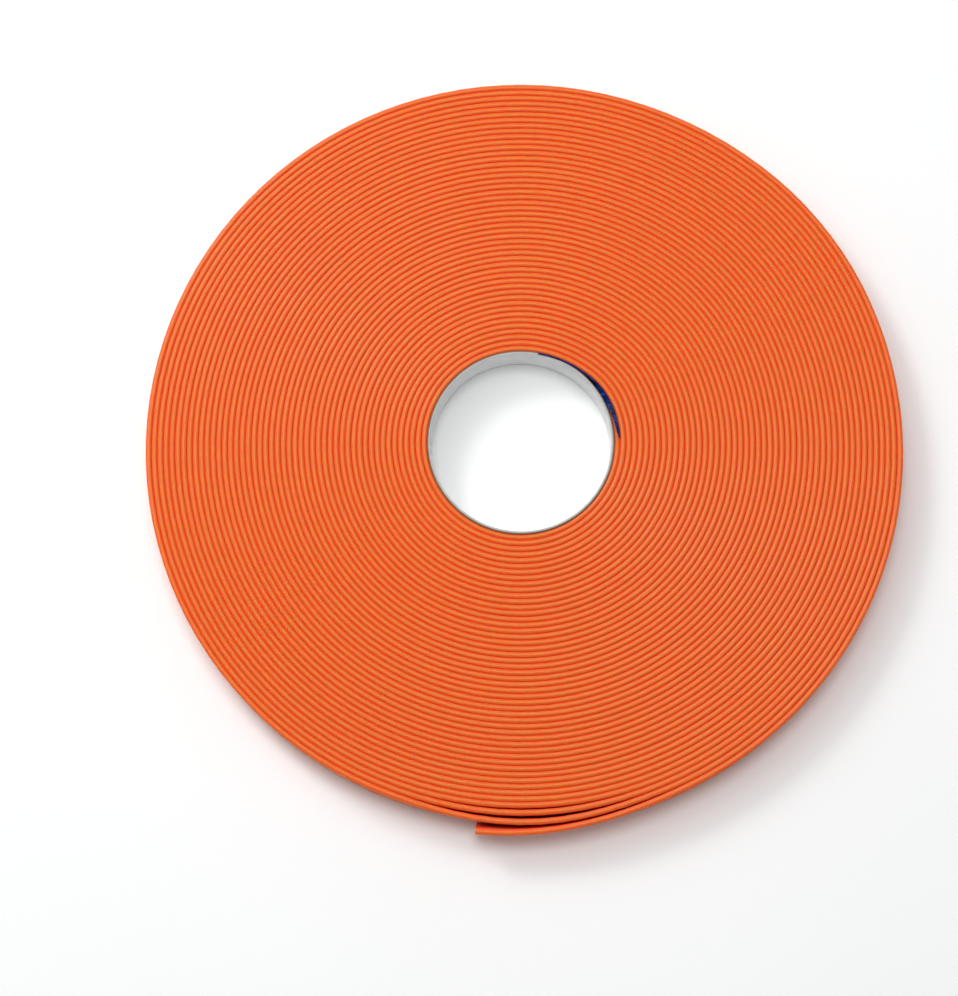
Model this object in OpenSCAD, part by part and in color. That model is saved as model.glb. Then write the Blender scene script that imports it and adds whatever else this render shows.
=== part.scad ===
// Roll of flat coated webbing strap, wound on a thin paper core.
// The roll lies flat: the winding axis is +Z, the lower face is at z = 0, and the origin is on the
// axis of the core bore. Seen from +Z the strap winds outwards clockwise, so places along the
// winding are angles counted clockwise from +X.
// The strap is one piece in real life. Its outer end is made here of short lengths that turn in
// each other, so that it can be peeled off the roll.

/* [Strap] */
// Width of the strap, which is also the height of the lying roll
strap_w = 19; // [12:1:38]
// Thickness of the strap over its coating
strap_t = 2.4; // [2:0.1:4]
// Coating over each flat side of the woven webbing
cover_t = 0.6; // [0.4:0.1:0.8]
// Coating over each edge of the woven webbing
cover_w = 1; // [0.5:0.5:2]

/* [Winding] */
// Number of whole turns inside the outermost, partial turn
turns = 48; // [4:1:60]
// Air left between one turn and the next
turn_gap = 0.08; // [0.05:0.01:0.2]
// Place where the strap starts on the core
start_at = -22; // [-40:1:-15]
// Arc in which each turn steps out over the one before
step_arc = 56; // [50:2:90]
// Place where the free end of the strap is
end_at = 96.7; // [90:0.1:200]

/* [Core] */
// Diameter of the bore, for a nominal 3 inch shaft or holder
bore_d = 76.6; // [60:0.1:90]
// Thickness of the paper tube's wall
wall_t = 1.2; // [0.8:0.1:4]
// Room between the core and the first turn
core_gap = 0.05; // [0.02:0.01:0.2]

/* [Starter tape] */
// Thickness of the tape and its folds
tape_t = 0.3; // [0.2:0.05:0.4]
// Distance from the edges of the tape to the faces of the roll
tape_inset = 0.5; // [0.2:0.1:2]

/* [Outer end] */
// Number of lengths in which the outer end bends
links = 8; // [4:1:8]
// Number of those lengths that stand loose from the roll
loose_links = 2; // [1:1:3]
// Arc of the roll that each length covers
link_arc = 12; // [8:1:12]
// Angle by which each loose length stands open
loose_angle = 1.4; // [0:0.1:3]
// Play around the knuckle between one length and the next
knuckle_gap = 0.08; // [0.05:0.01:0.1]

/* [Hidden] */
$fn = 180;

coating_colour = [0.93, 0.43, 0.21];
webbing_colour = [0.86, 0.52, 0.3];
core_colour = [0.62, 0.6, 0.55];
tape_colour = [0.05, 0.1, 0.35];

// The winding
core_r = bore_d / 2 + wall_t;
first_r = core_r + core_gap;
pitch = strap_t + turn_gap;
last_r = first_r + turns * pitch;

// Each step is two arcs of the same angle, one about a centre on each side of the axis
half_step = step_arc / 2;
step_at = start_at + 360 - step_arc;
step_shift = pitch / (2 * (1 - cos(half_step)));

// The starter tape begins where the space under the first step is just deep enough for it
tape_gap = 0.05;
tape_depth = tape_t + 3 * tape_gap;
tape_lead = half_step - acos(1 - tape_depth / step_shift);

// The bends of the outer end
bend_r = last_r + strap_t / 2;
knuckle_r = strap_t / 2 - 0.1;
lip_arc = 0.25;
plug_arc = 1;
root_end = end_at - links * link_arc;

// Place of the bend at which a length of the outer end starts.
function bend_at(k) = root_end + (k - 1) * link_arc;

// Point at a radius and a clockwise angle.
function clock(r, angle) = [r * cos(angle), -r * sin(angle), 0];

// Moves in two steps, a round number and then the rest, so that long decimals keep their accuracy.
module shift(v) {
    round_part = [for (x = v) round(x * 10) / 10];
    translate(round_part)
        translate(v - round_part)
            children();
}

// The strap cut across, with its inner face on the Y axis.
module whole_section() {
    square([strap_t, strap_w]);
}

module webbing_section() {
    translate([cover_t, cover_w])
        square([strap_t - 2 * cover_t, strap_w - 2 * cover_w]);
}

module coating_section() {
    difference() {
        whole_section();
        webbing_section();
    }
}

// Bends a section around the Z axis at a radius, from one clockwise angle to another.
module arc_bar(r, from, to) {
    rotate_extrude(angle = to - from, start = -to)
        shift([r, 0])
            children();
}

// One whole turn: round the axis, then the step outwards, which leaves this circle and meets the
// next one without a kink.
module turn(r) {
    arc_bar(r, start_at, step_at)
        children();
    shift(clock(-step_shift, step_at))
        arc_bar(r + step_shift, step_at, step_at + half_step)
            children();
    shift(clock(step_shift, start_at))
        arc_bar(r + pitch - step_shift, step_at + half_step, step_at + step_arc)
            children();
}

// The wound strap, up to a place on the outermost turn.
module winding(to) {
    for (k = [0 : turns - 1])
        turn(first_r + k * pitch)
            children();
    arc_bar(last_r, start_at, to)
        children();
}

// A pin through the middle of the outermost turn.
module bend_pin(at, r) {
    translate(clock(bend_r, at))
        cylinder(r = r, h = strap_w, $fn = 48);
}

// Opens the loose lengths, each one on the end of the one before.
module loosened(k, from = links - loose_links + 1) {
    bend = clock(bend_r, bend_at(from));
    if (from > k)
        children();
    else
        translate(bend)
            rotate(loose_angle)
                translate(-bend)
                    loosened(k, from + 1)
                        children();
}

module core_tube() {
    color(core_colour)
        difference() {
            cylinder(r = core_r, h = strap_w);
            translate([0, 0, -1])
                cylinder(d = bore_d, h = strap_w + 2);
        }
}

// The tape lines the inner side of the first step, between the core and the strap.
module tape_section() {
    translate([-tape_gap - tape_t, tape_inset])
        square([tape_t, strap_w - 2 * tape_inset]);
}

module starter_tape() {
    color(tape_colour) {
        shift(clock(-step_shift, step_at))
            arc_bar(first_r + step_shift, step_at + half_step - tape_lead, step_at + half_step)
                tape_section();
        shift(clock(step_shift, start_at))
            arc_bar(first_r + pitch - step_shift, step_at + half_step, step_at + step_arc)
                tape_section();
    }
}

// The coating is left whole next to each bend, so that the webbing stops short of the knuckles.
module strap_coating() {
    color(coating_colour)
        difference() {
            union() {
                winding(root_end - plug_arc)
                    coating_section();
                arc_bar(last_r, root_end - plug_arc, root_end - lip_arc)
                    whole_section();
            }
            bend_pin(root_end, knuckle_r + knuckle_gap);
        }
}

module strap_webbing() {
    color(webbing_colour)
        winding(root_end - plug_arc)
            webbing_section();
}

// A length's webbing runs out to the cut end on the last one.
module tail_webbing_bar(k) {
    arc_bar(last_r, bend_at(k) + plug_arc, k < links ? bend_at(k + 1) - plug_arc : end_at)
        webbing_section();
}

module tail_coating(k) {
    color(coating_colour)
        loosened(k)
            difference() {
                union() {
                    bend_pin(bend_at(k), knuckle_r);
                    arc_bar(last_r, bend_at(k), k < links ? bend_at(k + 1) - lip_arc : end_at)
                        whole_section();
                }
                tail_webbing_bar(k);
                if (k < links)
                    bend_pin(bend_at(k + 1), knuckle_r + knuckle_gap);
            }
}

module tail_webbing(k) {
    color(webbing_colour)
        loosened(k)
            tail_webbing_bar(k);
}

core_tube();
starter_tape();
strap_coating();
strap_webbing();
for (k = [1 : links]) {
    tail_coating(k);
    tail_webbing(k);
}
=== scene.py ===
"""Looks of a wound roll of coated webbing strap: strap, cut ends, paper core and starter tape."""

import math

import bpy
import numpy as np
from mathutils import Matrix, Vector


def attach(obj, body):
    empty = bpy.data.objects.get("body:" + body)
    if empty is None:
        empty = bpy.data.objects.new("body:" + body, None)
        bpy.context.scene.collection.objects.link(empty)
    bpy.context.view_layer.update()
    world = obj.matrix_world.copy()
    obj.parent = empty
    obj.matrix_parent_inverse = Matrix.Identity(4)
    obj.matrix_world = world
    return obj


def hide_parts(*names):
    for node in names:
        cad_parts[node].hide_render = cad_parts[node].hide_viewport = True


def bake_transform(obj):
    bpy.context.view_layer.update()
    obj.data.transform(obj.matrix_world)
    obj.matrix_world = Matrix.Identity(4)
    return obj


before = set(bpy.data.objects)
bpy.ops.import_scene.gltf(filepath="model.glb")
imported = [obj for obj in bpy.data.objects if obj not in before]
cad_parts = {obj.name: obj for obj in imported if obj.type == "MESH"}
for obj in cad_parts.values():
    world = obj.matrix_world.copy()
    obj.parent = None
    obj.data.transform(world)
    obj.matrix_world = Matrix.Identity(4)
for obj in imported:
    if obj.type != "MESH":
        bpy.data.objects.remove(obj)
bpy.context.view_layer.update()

# Sizes are in millimetres and angles in degrees, counted clockwise from +X as seen from +Z.
MM = 0.001

# The core, as in the CAD
BORE_R = 38.3
WALL_T = 1.2
CORE_R = BORE_R + WALL_T

# The strap and its winding, as in the CAD
STRAP_W = 19.0
STRAP_T = 2.4
TURN_GAP = 0.08
PITCH = STRAP_T + TURN_GAP
TURNS = 48
FIRST_R = CORE_R + 0.05
START_AT = -22.0
STEP_ARC = 56.0
HALF_STEP = STEP_ARC / 2
STEP_AT = START_AT + 360 - STEP_ARC
STEP_SHIFT = PITCH / (2 * (1 - math.cos(math.radians(HALF_STEP))))
LINKS = 8
LINK_ARC = 12.0
END_AT = 96.7
ROOT_END = END_AT - LINKS * LINK_ARC

# The strap's cross-section: the size over its coating, and the crown of its two edges
SKIN_T = 2.44
SKIN_W = 18.8
CROWN_DEPTH = 0.8
CROWN_POWER = 1.1
CROWN_POINTS = 9

# The cut ends: a pocket in the coating, in which two rows of yarns show
POCKET_DEPTH = 0.5
POCKET_SHARES = 0.52, 0.9
WEBBING_W = 16.6
WEBBING_T = 1.12
YARN_ROWS = 2
YARNS_PER_ROW = 19
YARN_FOOT = -0.35

# How finely the strap is drawn
RINGS_PER_TURN = 112
TAIL_RING_ARC = 0.75

# The coating's colour: the red of the grooves between turns is painted shade and red bounce light. How far
# from a crest that red begins, is full, starts to fade and has faded to the share of it that the flat sides
# keep (painted bounce light on the covered faces, a redder tone on the bare outer face), and how long the
# strap's start is painted dark, as painted shade
SHADE_RED_FROM = 0.6
SHADE_RED_FULL = 1.2
SHADE_FADE_TO_SIDE = 1.4, 6.0
SIDE_SHADE_AND_TONE_RED = 0.45
SHADED_START_LENGTH = 17.0

# How the turns lie: about how high, and how uneven in height and in the gaps between them
LIE_HEIGHT = 0.1
LEVEL_SWING = 0.05
RIPPLE_SWING = 0.015
GAP_SWING = 0.012
LEAN_RISE = 0.7 * SKIN_T

# The loose end, and the slack in the turns under it
LIFT_FROM = 63.0
LIFT_ARC = 35.0
LIFT_TOP = 4.5
LIFT_BOTTOM = 0.7
SLACK_AT = 89.0
SLACK_HALF_ARC = 22.0
SLACK_TOP = {TURNS - 1: 2.1, TURNS - 2: 0.7}
SLACK_BOTTOM_SHARE = 0.1

# The core's paper: the seam of its liner, in degrees and millimetres, and the roughness of its faces
SEAM_FROM = 25
SEAM_TWIST = 9.0
SEAM_ARC = 0.8
SEAM_HEIGHT = 0.05
CUT_ROUGHNESS = 0.05
CUT_FUZZ = 0.03
WALL_ROUGHNESS = 0.02

# The starter tape: its ends, and where it climbs over the strap's start and fills the space under the step
TAPE_FROM = STEP_AT - 361
TAPE_TO = -2.5
TAPE_T = 0.07
OVER_START_FROM = START_AT - 6
OVER_START_ARC = 4
FILLING_FROM = -48
FILLING_ARC = 9

# The tape's wall: height of its lower edge, how far that edge climbs, and how far the wall stands off
TAPE_FOOT = 0.5
FOOT_RISE = 18.0
FOOT_SWING = 0.4
WALL_STAND = 0.10
WALL_CRUMPLE = 0.05

# The tape's flap: how far it stands off, its least width, how far it sinks, and its folds
FLAP_STAND = 0.12
FLAP_LEAST = 0.75
FLAP_DROP = 1.6
FLAP_CRUMPLE = 0.10
FLAP_CREASE = 0.05

# The studio: the floor turns into the plain backdrop between two distances from the roll's axis
BACKDROP = (0.93, 0.93, 0.93, 1)
FLOOR_RADIUS = 6000
FLOOR_SIDES = 48
FLOOR_Z = -0.05
FLOOR_TO = 450
BACKDROP_FROM = 1000
CAMERA_PLACE = -5.4, -218.4, 1046.6
CAMERA_TARGET = -17.6, -24.1, STRAP_W


# ---------------------------------------------------------------- shapes

def smoothstep(t):
    t = np.clip(t, 0, 1)
    return t * t * (3 - 2 * t)


def clock(angle):
    """Unit vectors at clockwise angles, as an (n, 2) array."""
    a = np.radians(angle)
    return np.stack([np.cos(a), -np.sin(a)], axis=-1)


def wobble(seed, slowest, fastest, count=14):
    """A smooth random function of a number, about -1 to 1, whose waves lie between two rates."""
    rng = np.random.default_rng(seed)
    rates = rng.uniform(slowest, fastest, count)
    phases = rng.uniform(0, 2 * math.pi, count)

    def value(t):
        waves = np.sin(2 * math.pi * np.multiply.outer(t, rates) + phases)
        return waves.sum(axis=-1) / math.sqrt(count)

    return value


level_noise = wobble(3, 0.07, 0.9)
ripple_noise = wobble(5, 2.0, 7.0)
gap_noise = wobble(8, 0.2, 3.0)


def travel_at(turn, angle):
    """Degrees from the strap's start to a place on a turn."""
    return 360 * turn + angle - START_AT


def strap_run(travel):
    """Length of strap from its start to a place on the winding, in millimetres."""
    return travel / 360 * 2 * math.pi * (FIRST_R + travel / 720 * PITCH)


def strap_line(travel):
    """The strap's inner face on the ideal winding: points and outward directions, (n, 2) each."""
    turn, along = np.divmod(travel, 360.0)
    in_first = (along >= 360 - STEP_ARC) & (along < 360 - HALF_STEP)
    in_second = along >= 360 - HALF_STEP
    out = clock(START_AT + along)
    radius = FIRST_R + turn * PITCH + STEP_SHIFT * in_first + (PITCH - STEP_SHIFT) * in_second
    centre = np.multiply.outer(in_second * STEP_SHIFT, clock(START_AT))
    centre -= np.multiply.outer(in_first * STEP_SHIFT, clock(STEP_AT))
    return centre + radius[:, None] * out, out


def slack(travel):
    """How far the upper and lower edge of the strap stand off the ideal winding."""
    turn, along = np.divmod(travel, 360.0)
    angle = along + START_AT
    reach = np.clip(np.abs(angle - SLACK_AT) / SLACK_HALF_ARC, 0, 1)
    swell = np.cos(reach * math.pi / 2) ** 2
    top = np.zeros_like(travel)
    for slack_turn, most in SLACK_TOP.items():
        top += np.where(turn == slack_turn, most * swell, 0)
    bottom = SLACK_BOTTOM_SHARE * top
    lift = np.where(turn == TURNS, smoothstep((angle - LIFT_FROM) / LIFT_ARC), 0)
    return top + LIFT_TOP * lift, bottom + LIFT_BOTTOM * lift


def strap_points(travel, section):
    """Points of the strap: section is (n, m, 2), across its thickness and then up its width."""
    travel = np.asarray(travel, float)
    foot, out = strap_line(travel)
    top, bottom = slack(travel)
    lean = np.arcsin((top - bottom) / STRAP_W)
    turns_on = travel / 360
    foot = foot + (bottom + GAP_SWING * gap_noise(turns_on))[:, None] * out
    base = LIE_HEIGHT + LEVEL_SWING * level_noise(turns_on) + RIPPLE_SWING * ripple_noise(turns_on)
    base = np.clip(base, 0, None) + LEAN_RISE * np.sin(lean)
    thick, wide = section[..., 0], section[..., 1]
    outward = thick * np.cos(lean)[:, None] + wide * np.sin(lean)[:, None]
    upward = wide * np.cos(lean)[:, None] - thick * np.sin(lean)[:, None] + base[:, None]
    flat = foot[:, None, :] + outward[..., None] * out[:, None, :]
    return np.concatenate([flat, upward[..., None]], axis=-1)


def strap_section():
    """The strap cut across, with crowned edges: (m, 2), thickness and width."""
    angle = np.linspace(-math.pi / 2, math.pi / 2, CROWN_POINTS)
    side = SKIN_T / 2 * (1 + np.sign(angle) * np.abs(np.sin(angle)) ** CROWN_POWER)
    crown = CROWN_DEPTH * (1 - np.abs(np.cos(angle)) ** CROWN_POWER)
    upper = np.stack([side, SKIN_W - crown], axis=-1)
    lower = np.stack([side, crown], axis=-1)[::-1]
    return np.concatenate([upper, lower])


# The section, the way round it to each of its points, and the places of the crests and the inner face
SECTION = strap_section()
SIDE_LENGTHS = np.linalg.norm(np.roll(SECTION, -1, axis=0) - SECTION, axis=1)
PLACES = np.concatenate([[0], np.cumsum(SIDE_LENGTHS)])
CRESTS = PLACES[CROWN_POINTS // 2], PLACES[CROWN_POINTS + CROWN_POINTS // 2]
INNER_FACE_FROM = PLACES[-2]
MIDDLE = np.array([SKIN_T / 2, SKIN_W / 2])
POCKET = MIDDLE + (SECTION - MIDDLE) * np.array(POCKET_SHARES)


def new_piece(name, points, faces, materials, flat=()):
    """A mesh object from points in millimetres; faces listed in flat aren't shaded smooth."""
    mesh = bpy.data.meshes.new(name)
    mesh.from_pydata((np.asarray(points) * MM).tolist(), [], [list(map(int, f)) for f in faces])
    smooth = np.ones(len(faces), bool)
    smooth[list(flat)] = False
    mesh.polygons.foreach_set("use_smooth", smooth)
    for material in materials:
        mesh.materials.append(material)
    mesh.update()
    mesh.set_sharp_from_angle(angle=math.radians(50))
    piece = bpy.data.objects.new(name, mesh)
    bpy.context.scene.collection.objects.link(piece)
    return piece


def loop_faces(rings, around):
    """Quads of a tube of that many rings, each with that many points."""
    i = np.arange(rings - 1)[:, None] * around
    j = np.arange(around)[None, :]
    k = (j + 1) % around
    return np.stack([i + j, i + around + j, i + around + k, i + k], axis=-1).reshape(-1, 4)


def strap_uv(piece, travels, sections, cap_faces):
    """Length along the strap and place round its section, in metres, for the materials."""
    around = sections.shape[1]
    radius = FIRST_R + travels / 360 * PITCH
    steps = np.diff(travels, prepend=travels[0]) * math.pi / 180 * radius
    along = np.cumsum(steps) + strap_run(travels[0])
    i = np.arange(len(travels) - 1)[:, None]
    j = np.arange(around)[None, :]
    corners = [(i, j), (i + 1, j), (i + 1, j + 1), (i, j + 1)]
    uv = np.stack([np.stack([along[a] + 0 * b, PLACES[b] + 0 * a], axis=-1) for a, b in corners], axis=2)
    uv = np.concatenate([uv.reshape(-1, 2), np.zeros((cap_faces * around, 2))]) * MM
    layer = piece.data.uv_layers.new(name="Strap")
    layer.data.foreach_set("uv", uv.ravel())


def strap_length(name, travels, material, cut_start=False, cut_end=False):
    """A closed length of strap. A cut end has a pocket, in which the webbing shows."""
    pocket_step = math.degrees(POCKET_DEPTH / (FIRST_R + travels[0] / 360 * PITCH))
    sections = [SECTION] * len(travels)
    travels = list(travels)
    if cut_start:
        travels = [travels[0] + pocket_step, travels[0]] + travels
        sections = [POCKET, POCKET] + sections
    if cut_end:
        travels = travels + [travels[-1], travels[-1] - pocket_step]
        sections = sections + [POCKET, POCKET]
    travels, sections = np.array(travels), np.array(sections)
    points = strap_points(travels, sections).reshape(-1, 3)
    around = len(SECTION)
    sides = loop_faces(len(travels), around)
    first_cap = list(range(around))
    last_cap = list(range(len(points) - around, len(points)))[::-1]
    faces = sides.tolist() + [first_cap, last_cap]
    flat = [len(sides), len(sides) + 1]
    if cut_start:
        flat += range(2 * around)
    if cut_end:
        flat += range(len(sides) - 2 * around, len(sides))
    piece = new_piece(name, points, faces, [material], flat)
    strap_uv(piece, travels, sections, 2)
    return piece


def yarn_end(centre, half, height, sides=10, rings=4):
    """One domed yarn end: points in thickness, width and height, and its faces."""
    points, faces = [], []
    dome_arc = math.pi / 2 * 0.85
    for i in range(rings):
        bend = i / (rings - 1) * dome_arc
        for j in range(sides):
            a = 2 * math.pi * j / sides
            points.append((centre[0] + half[0] * math.cos(bend) * math.cos(a),
                           centre[1] + half[1] * math.cos(bend) * math.sin(a),
                           height * math.sin(bend) if i else YARN_FOOT))
    for i in range(rings - 1):
        for j in range(sides):
            k = (j + 1) % sides
            faces.append((i * sides + j, i * sides + k, (i + 1) * sides + k, (i + 1) * sides + j))
    faces.append(tuple(range(sides))[::-1])
    faces.append(tuple(range((rings - 1) * sides, rings * sides)))
    return points, faces


def webbing_end(name, travel, facing, material):
    """The cut yarns of the webbing at one end of the strap; facing is 1 at the outer end."""
    rng = np.random.default_rng(abs(int(travel)))
    points, faces = [], []
    for row in range(YARN_ROWS):
        for yarn in range(YARNS_PER_ROW):
            centre = (MIDDLE[0] + WEBBING_T * ((row + 0.5) / YARN_ROWS - 0.5),
                      MIDDLE[1] + WEBBING_W * ((yarn + 0.25 + 0.5 * row) / YARNS_PER_ROW - 0.5))
            half = (WEBBING_T / YARN_ROWS * 0.56, WEBBING_W / YARNS_PER_ROW * rng.uniform(0.47, 0.56))
            stub, stub_faces = yarn_end(centre, half, rng.uniform(0.08, 0.3))
            faces += [[v + len(points) for v in face] for face in stub_faces]
            points += stub
    points = np.array(points)
    radius = FIRST_R + travel / 360 * PITCH
    travels = travel + facing * np.degrees(points[:, 2] / radius)
    placed = strap_points(travels, points[:, None, :2])[:, 0]
    if facing < 0:
        faces = [face[::-1] for face in faces]
    piece = new_piece(name, placed, faces, [material])
    return piece


def core_section():
    """The tube's wall cut across: depth from the bore, height, and the face from which it is liner.

    Fine grooves on the cut faces part the three plies.
    """
    rim_in = np.array([0.0, 0.07, 0.36, 0.40, 0.44, 0.76, 0.80, 0.84, 1.13, WALL_T])
    rim_drop = np.array([0.16, 0.02, 0.0, 0.07, 0.01, 0.0, 0.07, 0.02, 0.03, 0.18])
    levels = 15
    wall_z = np.linspace(rim_drop[0], STRAP_W - rim_drop[0], levels)[1:-1]
    outer_wall = np.full(len(wall_z), WALL_T)
    inner_wall = np.zeros(len(wall_z))
    depth = np.concatenate([rim_in, outer_wall, rim_in[::-1], inner_wall])
    height = np.concatenate([STRAP_W - rim_drop, wall_z[::-1], rim_drop[::-1], wall_z])
    liner_from = len(depth) - len(inner_wall) - 1
    return depth, height, liner_from


def core_tube(board, liner):
    """The paper tube: its cut faces are a little rough, and the liner has a spiral seam."""
    around = 480
    depth, height, liner_from = core_section()
    angle = np.arange(around) * 360 / around
    lap = angle / 360
    rough = wobble(21, 4, 60, 40)
    fine = wobble(22, 40, 110, 40)
    sag = CUT_ROUGHNESS * rough(lap)[:, None] + CUT_FUZZ * fine(lap)[:, None]
    shown_height = np.where(height > STRAP_W / 2, height - np.abs(sag), height + np.abs(sag))
    seam_at = SEAM_FROM + SEAM_TWIST * height
    off_seam = (angle[:, None] - seam_at[None, :] + 180) % 360 - 180
    seam = SEAM_HEIGHT * np.exp(-(off_seam / SEAM_ARC) ** 2) * (depth[None, :] < 0.01)
    shown_radius = BORE_R + depth[None, :] + seam + WALL_ROUGHNESS * rough(lap + 0.4)[:, None]
    out = clock(-angle)
    points = np.concatenate([shown_radius[..., None] * out[:, None, :], shown_height[..., None]], axis=-1)
    section = len(depth)
    faces = loop_faces(around + 1, section) % (around * section)
    piece = new_piece("core_tube_paper", points.reshape(-1, 3), faces, [board, liner])
    on_liner = np.arange(len(faces)) % section >= liner_from
    piece.data.polygons.foreach_set("material_index", on_liner.astype(np.int32))
    return piece


def film(name, grid, thickness, material):
    """A closed thin film whose outer side is a grid of points, (rows, columns, 3)."""
    along = np.gradient(grid, axis=0)
    across = np.gradient(grid, axis=1)
    normal = np.cross(along, across)
    normal /= np.linalg.norm(normal, axis=-1, keepdims=True)
    rows, columns = grid.shape[:2]
    loops = np.concatenate([grid, (grid - thickness * normal)[:, ::-1]], axis=1)
    faces = loop_faces(rows, 2 * columns).tolist()
    count = rows * 2 * columns
    faces.append(list(range(2 * columns)))
    faces.append(list(range(count - 2 * columns, count))[::-1])
    return new_piece(name, loops.reshape(-1, 3), faces, [material], [len(faces) - 2, len(faces) - 1])


def flap_width(angle, radius, filling):
    """How far the tape's upper margin folds inwards, from the strap's inner face at a radius.

    The flap reaches almost to the core. Its torn edge draws back towards the tape's end.
    """
    torn_edge = 1.1 * np.clip((angle + 28) / 21, 0, 1) + 1.85 * smoothstep((angle + 6) / 3.5)
    flap_end = CORE_R + 0.2 + torn_edge + 0.06 * wobble(32, 0.1, 0.6)(angle)
    flap = np.clip((radius - flap_end) * filling, FLAP_LEAST, None)
    return np.minimum(flap, 0.02 + 2.0 * np.clip(TAPE_TO - angle, 0, 1))


def starter_tape(material):
    """The tape lines the first step, and its upper margin folds in over the space and the strap's start."""
    columns, wall_rows, flap_rows = 320, 26, 16
    angle = np.linspace(TAPE_FROM, TAPE_TO, columns)
    inner, out = strap_line(travel_at(0, angle + 360))
    over_start = smoothstep((angle - OVER_START_FROM) / OVER_START_ARC)
    filling = smoothstep((angle - FILLING_FROM) / FILLING_ARC)
    uneven_foot = FOOT_SWING * wobble(31, 0.05, 0.3)(angle) * (1 - over_start)
    wall_foot = TAPE_FOOT + FOOT_RISE * over_start + uneven_foot
    wall_top = SKIN_W - 0.05 + 0.35 * over_start + 0.4 * (1 - filling)
    flap = flap_width(angle, np.linalg.norm(inner, axis=-1), filling)
    crumple = wobble(33, 0.08, 0.5, 20)
    crease = wobble(34, 0.15, 0.9, 20)
    rows = []
    for t in np.linspace(0, 1, wall_rows):
        stand = WALL_STAND + WALL_CRUMPLE * (1 + crumple(angle + 40 * t)) * (1 - over_start)
        height = wall_foot + (wall_top - wall_foot) * t
        rows.append(np.concatenate([inner - stand[:, None] * out, height[:, None]], axis=-1))
    for t in np.linspace(0, 1, flap_rows + 1)[1:]:
        reach = FLAP_STAND + flap * t
        creased = FLAP_CRUMPLE * t * crumple(angle + 3 * t) + FLAP_CREASE * crease(angle - 5 * t)
        drop = FLAP_DROP * t * filling * (1 - over_start)
        height = wall_top + FLAP_STAND * math.sin(t * math.pi / 2) + creased - drop
        rows.append(np.concatenate([inner - reach[:, None] * out, height[:, None]], axis=-1))
    piece = film("starter_tape_film", np.array(rows), TAPE_T, material)
    return piece


# ---------------------------------------------------------------- materials

class Nodes:
    """A short way to write a node material around one Principled shader."""

    def __init__(self, name, roughness, **constants):
        self.material = bpy.data.materials.new(name)
        self.material.use_nodes = True
        self.tree = self.material.node_tree
        self.shader = self.tree.nodes["Principled BSDF"]
        self.shader.inputs["Roughness"].default_value = roughness
        for socket, value in constants.items():
            self.shader.inputs[socket.replace("_", " ")].default_value = value

    def add(self, kind, inputs=None, **settings):
        node = self.tree.nodes.new("ShaderNode" + kind)
        for key, value in settings.items():
            setattr(node, key, value)
        for socket, value in (inputs or {}).items():
            self.feed(node.inputs[socket], value)
        return node

    def feed(self, socket, value):
        if isinstance(value, bpy.types.NodeSocket):
            self.tree.links.new(value, socket)
        else:
            socket.default_value = value

    def place(self, stretch, uv=None):
        """Object coordinates, or a UV map, scaled by stretch."""
        if uv:
            start = self.add("UVMap", uv_map=uv).outputs["UV"]
        else:
            start = self.add("TexCoord").outputs["Object"]
        scaled = self.add("VectorMath", {0: start, 1: stretch}, operation="MULTIPLY")
        return scaled.outputs["Vector"]

    def from_axis(self):
        """Distance from the roll's axis, in metres."""
        return self.add("VectorMath", {0: self.place((1, 1, 0))}, operation="LENGTH").outputs["Value"]

    def noise(self, vector, scale, detail=3.0, rough=0.55):
        made = self.add("TexNoise", {"Vector": vector, "Scale": scale, "Detail": detail, "Roughness": rough})
        return made.outputs["Fac"]

    def spread(self, value, low, high, to_low=0.0, to_high=1.0):
        """Maps low..high to to_low..to_high, clamped."""
        made = self.add("MapRange", {0: value, 1: low, 2: high, 3: to_low, 4: to_high})
        return made.outputs[0]

    def math(self, operation, a, b=0.0):
        return self.add("Math", {0: a, 1: b}, operation=operation).outputs[0]

    def off_place(self, value, place):
        """How far a value in metres is from a place in millimetres."""
        return self.math("ABSOLUTE", self.math("SUBTRACT", value, place * MM))

    def mix(self, factor, a, b):
        made = self.add("Mix", data_type="RGBA")
        for socket, value in (("Factor_Float", factor), ("A_Color", a), ("B_Color", b)):
            self.feed(next(s for s in made.inputs if s.identifier == socket), value)
        return next(s for s in made.outputs if s.identifier == "Result_Color")

    def bump(self, layers):
        """Stacks bumps from (height, strength, distance in millimetres)."""
        normal = None
        for height, strength, distance in layers:
            inputs = {"Height": height, "Strength": strength, "Distance": distance * MM}
            if normal is not None:
                inputs["Normal"] = normal
            normal = self.add("Bump", inputs).outputs["Normal"]
        self.feed(self.shader.inputs["Normal"], normal)

    def colour(self, value):
        self.feed(self.shader.inputs["Base Color"], value)

    def roughness(self, value):
        self.feed(self.shader.inputs["Roughness"], value)


def bare_face(m, on_strap):
    """1 on the outer side of the outermost turn, which no other turn covers, and 0 elsewhere."""
    bare_from = strap_run(travel_at(TURNS - 1, END_AT))
    bare = m.spread(on_strap["X"], (bare_from - 5) * MM, (bare_from + 5) * MM)
    half_face = (CRESTS[1] - CRESTS[0]) / 2
    off_middle = m.off_place(on_strap["Y"], CRESTS[0] + half_face)
    outer_face = m.spread(off_middle, (half_face - SHADE_RED_FROM) * MM, half_face * MM, 1.0, 0.0)
    return m.math("MULTIPLY", bare, outer_face)


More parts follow.
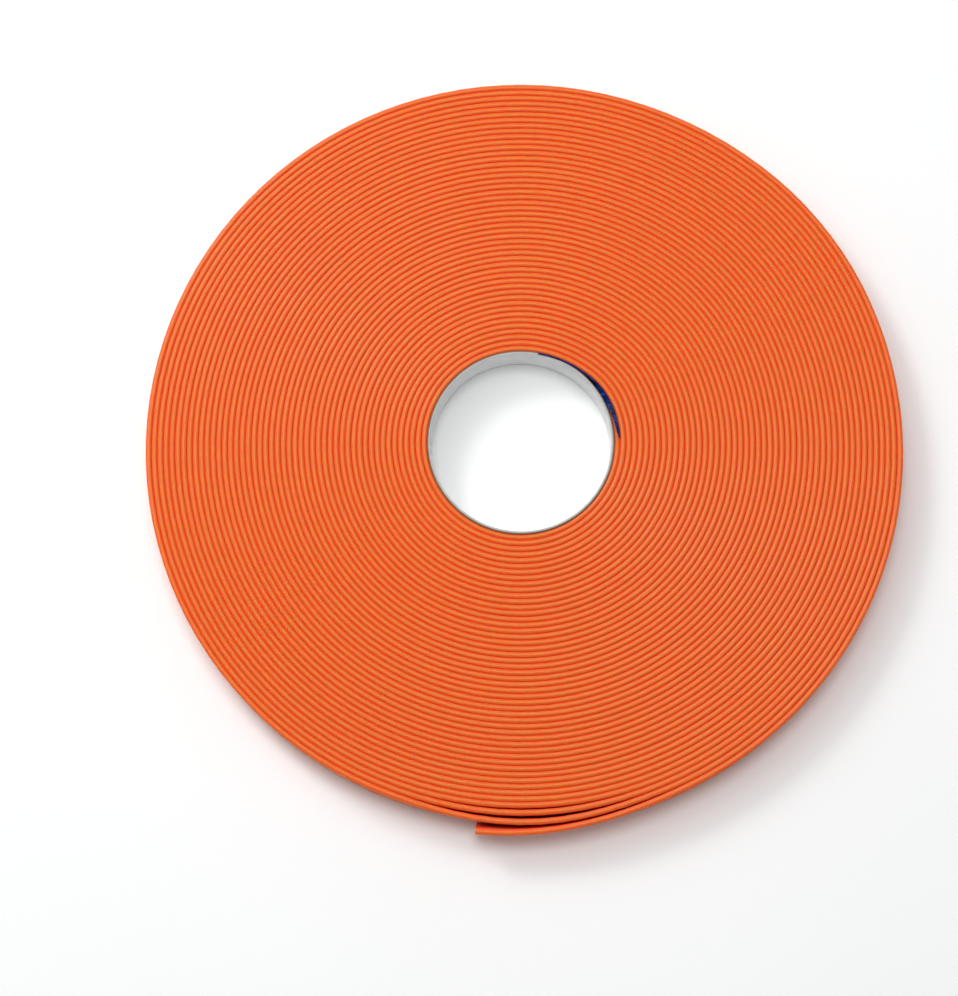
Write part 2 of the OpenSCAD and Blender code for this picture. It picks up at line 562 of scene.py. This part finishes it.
def coating_material():
    """Smooth satin coating, drawn lengthwise, with a fine grain. Its grooves and inner face are painted red,
    as painted shade and bounce light, and its start on the core is painted darker, as painted shade under
    the tape.
    """
    m = Nodes("orange_coating", 0.36, IOR=1.42, Specular_IOR_Level=0.4, Subsurface_Weight=0.7,
              Subsurface_Radius=(1.6, 0.25, 0.1), Subsurface_Scale=MM)
    orange = (0.745, 0.160, 0.010, 1)
    deep = (0.735, 0.143, 0.008, 1)
    pale = (0.755, 0.210, 0.025, 1)
    # This red is painted shade and red bounce light, for the grooves between turns and the strap's inner
    # face
    shade_red = (0.890, 0.100, 0.026, 1)
    # Painted shade: the strap's start on the core, under the tape, is painted dark brown
    start_shade = (0.170, 0.045, 0.020, 1)
    along = m.noise(m.place((1.4, 40, 1), "Strap"), 3.0, 2.0)
    mottle = m.noise(m.place((1, 1, 1)), 700.0, 4.0)
    tone = m.mix(m.spread(along, 0.35, 0.65), deep, orange)
    scuff = m.spread(m.noise(m.place((60, 900, 1), "Strap"), 1.0, 5.0, 0.7), 0.60, 0.80, 0.0, 0.40)
    tone = m.mix(scuff, tone, pale)
    tone = m.mix(m.spread(mottle, 0.3, 0.75, 0.0, 0.20), tone, pale)
    on_strap = m.add("SeparateXYZ", {0: m.place((1, 1, 1), "Strap")}).outputs
    off_crest = m.math("MINIMUM", *[m.off_place(on_strap["Y"], crest) for crest in CRESTS])
    fading = m.spread(off_crest, SHADE_FADE_TO_SIDE[0] * MM, SHADE_FADE_TO_SIDE[1] * MM, 1.0, SIDE_SHADE_AND_TONE_RED)
    # Painted shade: away from the crests the grooves are painted red; the flat sides keep a share of it,
    # painted bounce light on covered faces and a redder tone on the bare outer face
    groove_shade = m.spread(off_crest, SHADE_RED_FROM * MM, SHADE_RED_FULL * MM, 0.0, fading)
    groove_shade = m.spread(bare_face(m, on_strap), 0.0, 1.0, groove_shade, SIDE_SHADE_AND_TONE_RED)
    # Painted bounce light: the strap's inner face is painted red, as if lit by red light from the turn
    # inside it
    inner_face_bounce = m.spread(on_strap["Y"], INNER_FACE_FROM * MM, (INNER_FACE_FROM + 1.0) * MM)
    tone = m.mix(m.math("MAXIMUM", groove_shade, inner_face_bounce), tone, shade_red)
    # Painted shade: the first millimetres of the strap, under the tape, fade to dark brown
    shaded_start = m.spread(on_strap["X"], 0.0, SHADED_START_LENGTH * MM, 1.0, 0.0)
    m.colour(m.mix(shaded_start, tone, start_shade))
    satin = m.spread(mottle, 0.3, 0.7, 0.30, 0.44)
    m.roughness(m.spread(off_crest, 0.9 * MM, 1.6 * MM, satin, 0.75))
    grain = m.noise(m.place((1, 1, 1)), 3200.0, 2.0)
    drawn = m.noise(m.place((40, 2600, 1), "Strap"), 1.0, 2.0)
    m.bump([(drawn, 0.35, 0.03), (grain, 0.5, 0.03)])
    return m.material


def webbing_material():
    """Cut polyester yarns: pale fibres with darker gaps between them."""
    m = Nodes("webbing_yarn", 0.85, IOR=1.5)
    clean = (0.80, 0.70, 0.55, 1)
    stained = (0.78, 0.52, 0.33, 1)
    gap = (0.42, 0.30, 0.20, 1)
    fibres = m.noise(m.place((1, 1, 1)), 5200.0, 3.0, 0.7)
    stain = m.noise(m.place((1, 1, 1)), 500.0, 2.0)
    fibre_tone = m.mix(m.spread(stain, 0.4, 0.7), clean, stained)
    m.colour(m.mix(m.spread(fibres, 0.35, 0.6), gap, fibre_tone))
    m.roughness(m.spread(fibres, 0.3, 0.7, 0.75, 0.95))
    m.bump([(fibres, 0.8, 0.06)])
    return m.material


def paper_material(name, light, dark, speck, speck_share, outer=None):
    """Recycled paper: matted fibres, darker specks and a soft unevenness. The outer ply may be browner."""
    m = Nodes(name, 0.9, IOR=1.45)
    cloud = m.noise(m.place((1, 1, 1)), 160.0, 4.0, 0.6)
    fibre = m.noise(m.place((900, 900, 5200)), 1.0, 4.0, 0.7)
    specks = m.noise(m.place((1, 1, 1)), 2600.0, 2.0)
    tone = m.mix(m.spread(cloud, 0.3, 0.7), light, dark)
    tone = m.mix(m.spread(fibre, 0.45, 0.75, 0.0, 0.5), tone, dark)
    if outer:
        in_outer_ply = m.spread(m.from_axis(), (CORE_R - 0.6) * MM, (CORE_R - 0.4) * MM)
        tone = m.mix(in_outer_ply, tone, outer)
    m.colour(m.mix(m.spread(specks, 0.66, 0.74, 0.0, speck_share), tone, speck))
    m.roughness(m.spread(fibre, 0.3, 0.7, 0.8, 0.96))
    m.bump([(cloud, 0.4, 0.10), (fibre, 0.7, 0.05)])
    return m.material


def tape_material():
    """Glossy dark blue film with stretched wrinkles, whose crests are painted paler blue, as painted
    highlights; the blue also varies at random.
    """
    m = Nodes("navy_tape", 0.2, Specular_IOR_Level=0.12)
    dark = (0.0015, 0.006, 0.042, 1)
    blue = (0.005, 0.025, 0.160, 1)
    wrinkle_glint_blue = (0.020, 0.080, 0.360, 1)
    wrinkle = m.noise(m.place((500, 500, 160)), 1.0, 2.0, 0.5)
    stress = m.noise(m.place((1, 1, 1)), 700.0, 2.0)
    navy = m.mix(m.spread(stress, 0.35, 0.7), dark, blue)
    # Painted highlight: where the wrinkle noise is high the film is painted paler blue
    m.colour(m.mix(m.spread(wrinkle, 0.58, 0.72, 0.0, 0.8), navy, wrinkle_glint_blue))
    m.roughness(m.spread(stress, 0.3, 0.7, 0.12, 0.30))
    m.bump([(wrinkle, 0.6, 0.2)])
    return m.material


def board_material():
    """Grey board, whose outer ply is browner."""
    light = (0.54, 0.535, 0.53, 1)
    dark = (0.44, 0.435, 0.43, 1)
    speck = (0.16, 0.13, 0.10, 1)
    return paper_material("core_board", light, dark, speck, 0.5, outer=(0.20, 0.155, 0.10, 1))


def liner_material():
    """Paler paper on the inside of the tube."""
    light = (0.82, 0.82, 0.82, 1)
    dark = (0.74, 0.74, 0.74, 1)
    speck = (0.55, 0.54, 0.53, 1)
    return paper_material("core_liner", light, dark, speck, 0.3)


def floor_material():
    """A matt white that turns into the plain backdrop, away from the roll."""
    m = Nodes("pale_floor", 0.8, IOR=1.4, Emission_Color=BACKDROP)
    cloud = m.noise(m.place((1, 1, 1)), 3.0, 2.0)
    far = m.spread(m.from_axis(), FLOOR_TO * MM, BACKDROP_FROM * MM)
    greyer = (0.90, 0.91, 0.91, 1)
    whiter = (0.92, 0.93, 0.93, 1)
    unlit = (0, 0, 0, 1)
    near_tone = m.mix(m.spread(cloud, 0.3, 0.7), greyer, whiter)
    m.colour(m.mix(far, near_tone, unlit))
    m.feed(m.shader.inputs["Emission Strength"], far)
    m.feed(m.shader.inputs["Specular IOR Level"], m.spread(far, 0.0, 1.0, 0.5, 0.0))
    m.roughness(m.spread(cloud, 0.3, 0.7, 0.75, 0.85))
    return m.material


# ---------------------------------------------------------------- the object


def add_wound_strap(coating, webbing):
    """The strap from its start on the core to the middle of the length before the first knuckle."""
    root_travel = travel_at(TURNS, ROOT_END - LINK_ARC / 2)
    ring_travels = np.arange(0, root_travel, 360 / RINGS_PER_TURN)
    wound = strap_length("wound_strap", np.append(ring_travels, root_travel), coating, cut_start=True)
    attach(wound, "roll")
    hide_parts("strap_coating", "strap_webbing")
    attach(webbing_end("webbing_start", 0.0, -1, webbing), "roll")


def add_tail_length(k, coating):
    """One length of the outer end, from mid-length to mid-length; the last one runs to the cut."""
    bend_at = ROOT_END + (k - 1) * LINK_ARC
    ends_at = END_AT if k == LINKS else bend_at + LINK_ARC / 2
    rings = round((ends_at - bend_at + LINK_ARC / 2) / TAIL_RING_ARC) + 1
    angles = np.linspace(bend_at - LINK_ARC / 2, ends_at, rings)
    length = strap_length(f"tail_strap_{k}", travel_at(TURNS, angles), coating, cut_end=k == LINKS)
    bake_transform(length)
    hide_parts(f"tail_coating_{k}", f"tail_webbing_{k}")


def add_core():
    core = core_tube(board_material(), liner_material())
    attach(core, "roll")
    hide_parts("core_tube")


def add_tape():
    tape = starter_tape(tape_material())
    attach(tape, "roll")
    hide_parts("starter_tape")


coating = coating_material()
webbing = webbing_material()
add_wound_strap(coating, webbing)
for k in range(1, LINKS + 1):
    add_tail_length(k, coating)
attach(webbing_end("webbing_end", travel_at(TURNS, END_AT), 1, webbing), f"tail_{LINKS}")
add_core()
add_tape()


# ---------------------------------------------------------------- the studio

def aim(item, place, target, up):
    """Puts a lamp or camera at place, looking at target; both are in millimetres."""
    item.location = Vector(place) * MM
    back = (item.location - Vector(target) * MM).normalized()
    right = Vector(up).cross(back).normalized()
    item.rotation_euler = Matrix((right, back.cross(right), back)).transposed().to_euler()


def add_item(name, data):
    item = bpy.data.objects.new(name, data)
    bpy.context.scene.collection.objects.link(item)
    return item


def add_lamp(name, place, size, watts):
    """A round soft lamp, aimed at the middle of the roll; its size is in metres."""
    data = bpy.data.lights.new(name, "AREA")
    data.shape = "DISK"
    data.size = size
    data.energy = watts
    aim(add_item(name, data), place, (0, 0, 0), (0, 1, 0.01))


def add_floor():
    ring = clock(np.arange(FLOOR_SIDES) * 360 / FLOOR_SIDES) * FLOOR_RADIUS
    rim = np.concatenate([ring, np.full((len(ring), 1), FLOOR_Z)], axis=-1)
    floor = new_piece("floor", rim, [range(len(rim))[::-1]], [floor_material()])


def add_world(strength):
    """Even light from all sides; what the camera sees of it is a plain pale backdrop."""
    world = bpy.data.worlds.new("studio")
    bpy.context.scene.world = world
    world.use_nodes = True
    light = world.node_tree.nodes["Background"]
    light.inputs["Color"].default_value = (1, 1, 1, 1)
    light.inputs["Strength"].default_value = strength
    seen = world.node_tree.nodes.new("ShaderNodeBackground")
    seen.inputs["Color"].default_value = BACKDROP
    rays = world.node_tree.nodes.new("ShaderNodeLightPath")
    either = world.node_tree.nodes.new("ShaderNodeMixShader")
    link = world.node_tree.links.new
    link(rays.outputs["Is Camera Ray"], either.inputs["Fac"])
    link(light.outputs["Background"], either.inputs[1])
    link(seen.outputs["Background"], either.inputs[2])
    link(either.outputs["Shader"], world.node_tree.nodes["World Output"].inputs["Surface"])


def add_camera():
    data = bpy.data.cameras.new("camera")
    data.lens = 90
    data.sensor_width = 36
    data.clip_start, data.clip_end = 0.05, 50
    camera = add_item("camera", data)
    aim(camera, CAMERA_PLACE, CAMERA_TARGET, (0, 1, 0))
    bpy.context.scene.camera = camera


add_floor()
add_world(strength=0.33)
add_lamp("key", place=(-900, 900, 1500), size=1.8, watts=17)
add_lamp("glint", place=(-1000, 1000, 1300), size=0.5, watts=9)
add_lamp("top", place=(0, 250, 2000), size=0.8, watts=14)
add_camera()
bpy.context.scene.view_settings.view_transform = "Standard"
